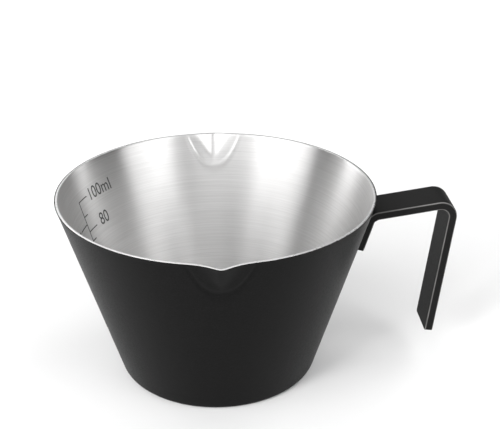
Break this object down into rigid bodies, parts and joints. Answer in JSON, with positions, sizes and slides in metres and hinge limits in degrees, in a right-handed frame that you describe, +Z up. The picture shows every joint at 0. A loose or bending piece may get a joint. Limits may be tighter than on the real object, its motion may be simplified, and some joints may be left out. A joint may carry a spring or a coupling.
{
  "type": "melting and pouring cup",
  "caption": "Small tapered steel melting and pouring cup with opposed pouring lips, black coated outside, bare brushed steel inside, and an open flat-bar side handle.",
  "frame": {"origin": "centre of the cup's flat underside, on the cup's axis", "axes": "+Z up along the cup's axis, +X towards the handle, +Y and -Y towards the pouring lips"},
  "size_m": [0.0961, 0.0792, 0.046],
  "materials": {
    "bare_steel": "brushed round the cup, bright",
    "black_coat": "fine-grained matt powder coat",
    "handle_coat": "fine-grained matt powder coat, smoother on the edges",
    "weld_steel": "dull fused steel"
  },
  "bodies": {
    "root": {"cup_body": "bare_steel", "outer_coat": "black_coat", "handle_strap": "handle_coat", "spot_weld_upper": "weld_steel", "spot_weld_lower": "weld_steel"}
  },
  "joints": []
}
